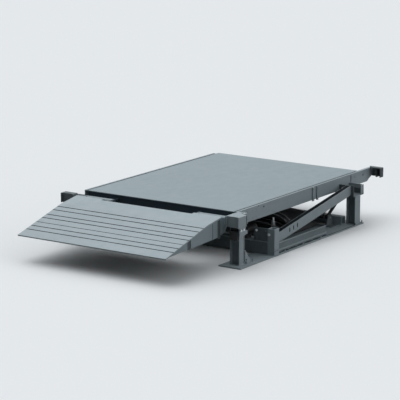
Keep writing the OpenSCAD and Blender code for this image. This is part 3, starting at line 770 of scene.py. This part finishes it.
LIP_REAR_SLOPE = math.radians(8.5)
LIP_GAUGE = 11.6
CHEEK_X, CHEEK_Y, CHEEK_Z = spans("right_lip_cheek")
CHEEK_TIP_SETBACK = 40
CHEEK_TIP_Y = LIP_TIP_Y + CHEEK_TIP_SETBACK
CHEEK_TIP_Z = LIP_TIP_Z + CHEEK_TIP_SETBACK * math.tan(LIP_SLOPE) - LIP_GAUGE
CHEEK_MARGIN = 3
TIP_CHEEK_X = spans("lip_tip_cheeks")[0]
# Outer face, front y and rear y of each seam
CHEEK_SEAMS = (
    (CHEEK_X[1], -385, -375),
    (CHEEK_X[1], -290, -238),
    (TIP_CHEEK_X[1], -822, CHEEK_Y[0] - 2),
)


def cheek_edges(y):
    """Lower and upper edge of a cheek, a little inside it."""
    part = (y - CHEEK_TIP_Y) / (CHEEK_Y[1] - CHEEK_TIP_Y)
    low = CHEEK_TIP_Z + (CHEEK_Z[0] - CHEEK_TIP_Z) * part
    behind_bend = CHEEK_Z[1] + (y - CHEEK_Y[1]) * math.tan(LIP_REAR_SLOPE)
    before_bend = CHEEK_TIP_Z + (y - CHEEK_TIP_Y) * math.tan(LIP_SLOPE)
    return low + CHEEK_MARGIN, min(behind_bend, before_bend) - CHEEK_MARGIN


cheek_seams = bmesh.new()
for sign in SIDES:
    for face_x, y0, y1 in CHEEK_SEAMS:
        low0, high0 = cheek_edges(y0)
        low1, high1 = cheek_edges(y1)
        outline = ((y0, low0), (y1, low1), (y1, high1), (y0, high0))
        depths = (face_x - SINK, face_x + FACE_PROUD)
        add_skin(cheek_seams, [[side(sign, x, y, z) for y, z in outline] for x in depths])
SEAM_COAT = paint("seam_coat", shade(DECK_BLUE, 0.3), rough=0.6, spread=0.08)
add_piece("lip_cheek_seams", cheek_seams, "lip", "deck_paint", SEAM_COAT, smooth=False)

# Air bag: two soft pillows, the upper one a wedge, drawn in at the ends

BAG_LOW, BAG_HIGH = (Vector(c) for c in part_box("air_bag"))
BAG_SIZE = BAG_HIGH - BAG_LOW
BAG_SECTIONS = 150
BAG_ROUND_STEPS = 72
# Front, back, underside and top at the front and at the back, as parts of the bag's box
PILLOWS = (
    (0.0, 1.0, 0.0, 0.0, 0.64, 0.50),
    (0.07, 0.985, 0.56, 0.40, 1.0, 0.66),
)
# How far the ends draw in, how square a pillow's section is, and where it is widest
END_PULL = 0.035
SECTION_SQUARE = 0.62
UNDERSIDE_SQUARE = 0.5
WIDEST = 0.42
# How much of its height the underside keeps at the ends, and the least fill below and above
END_SEAT = 0.62
LEAST_FILL_BELOW = 0.06
LEAST_FILL_ABOVE = 0.03
# Depths of the broad swells, the folds and the fine wrinkles, and room for them in the box
SWELL = 0.006
FOLD = 0.010
WRINKLE = 0.0012
SKIN_INSET = 0.006
BAG_FLOOR_GAP = 0.0004
PILLOW_REACH = 0.999
WELT_REACH = 0.97
WELT_ANGLES = (55, 25)
WELT_RADIUS = 0.008
WELT_SIDES = 8
WELT_WAVE = 0.004
SEED_STEP = 3.7
CLOTH_GRAIN = 240.0


def end_fill(t):
    """How full the bag is at a place across it, t from -1 to 1."""
    return max(0.0, 1 - abs(t) ** 5) ** 0.45


def pillow_point(pillow, t, angle):
    """A place on a pillow's section, as parts of the bag's box along y and z."""
    front, back, low_front, low_back, top_front, top_back = pillow
    fill = end_fill(t)
    pull = END_PULL * (1 - fill)
    c, n = math.cos(angle), math.sin(angle)
    along = 0.5 - 0.5 * math.copysign(abs(c) ** SECTION_SQUARE, c)
    low = low_front + (low_back - low_front) * along
    top = top_front + (top_back - top_front) * along
    seat = low * (END_SEAT + (1 - END_SEAT) * fill)
    mid = seat + (top - low) * WIDEST * max(fill, LEAST_FILL_BELOW)
    if n >= 0:
        crown = (top - low) * (1 - WIDEST) * max(fill, LEAST_FILL_ABOVE)
        z = mid + crown * n ** SECTION_SQUARE
    else:
        z = mid - (mid - seat) * (-n) ** UNDERSIDE_SQUARE
    y = front + pull + (back - front - 2 * pull) * along
    return y, z


def bag_spot(t, y, z):
    """A point of the bag's box, from t across it and parts of it along y and z."""
    return BAG_LOW + Vector(((t + 1) / 2 * BAG_SIZE.x, y * BAG_SIZE.y, z * BAG_SIZE.z))


def outward(angle):
    return Vector((0, -math.cos(angle), math.sin(angle)))


def across_bag():
    """Places across the bag, from -1 to 1."""
    return [-1 + 2 * i / BAG_SECTIONS for i in range(BAG_SECTIONS + 1)]


def skin_relief(spot, t, seed):
    """Height of the swells, folds and wrinkles; the folds gather at the ends."""
    x, y, z = spot
    gather = 0.25 + 0.75 * abs(t) ** 5
    swell = noise.noise(Vector((x * 3.0, y * 6.0 + seed, z * 5.0))) * SWELL
    fold = abs(noise.noise(Vector((x * 4.0 + seed, y * 16.0, z * 16.0)))) * FOLD * gather
    wrinkle = noise.noise(Vector((x * 26.0, y * 26.0 + seed, z * 26.0))) * WRINKLE
    return swell - fold + wrinkle


def add_pillow(bm, pillow, seed):
    loops = []
    for t in across_bag():
        loop = []
        for angle in around(BAG_ROUND_STEPS):
            spot = bag_spot(t, *pillow_point(pillow, t * PILLOW_REACH, angle))
            spot += outward(angle) * (skin_relief(spot, t, seed) - SKIN_INSET)
            spot.y = min(max(spot.y, BAG_LOW.y), BAG_HIGH.y)
            spot.z = min(max(spot.z, BAG_LOW.z + BAG_FLOOR_GAP), BAG_HIGH.z)
            loop.append(spot)
        loops.append(loop)
    add_skin(bm, loops)


def add_welt(bm, pillow, angle):
    """A thin round seam along a pillow, at one place around it."""
    loops = []
    for t in across_bag():
        reach = t * WELT_REACH
        spot = bag_spot(reach, *pillow_point(pillow, reach, angle))
        wave = noise.noise(Vector((spot.x * 5.0, angle, 1.0))) * WELT_WAVE
        spot += outward(angle) * (wave - SKIN_INSET)
        loop = []
        for turn in around(WELT_SIDES):
            loop.append(spot + Vector((0, math.cos(turn), math.sin(turn))) * WELT_RADIUS)
        loops.append(loop)
    add_skin(bm, loops)


bag = bmesh.new()
for number, pillow in enumerate(PILLOWS):
    add_pillow(bag, pillow, SEED_STEP * number)
BAG_CLOTH = rubber("bag_cloth", (0.026, 0.029, 0.032), CLOTH_GRAIN)
bag_piece = add_piece("air_bag_skin", bag, "frame", "rubber", BAG_CLOTH)
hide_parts("air_bag")

# Round welt seams along the pillows, pale grey against the dark cloth: painted highlight along
# the ridges
welts = bmesh.new()
for pillow in PILLOWS:
    for angle in WELT_ANGLES:
        add_welt(welts, pillow, math.radians(angle))
WELT_HIGHLIGHT = rubber("bag_welt_highlight", (0.36, 0.375, 0.38), CLOTH_GRAIN)
add_piece("air_bag_highlight_welts", welts, "frame", "rubber", WELT_HIGHLIGHT)
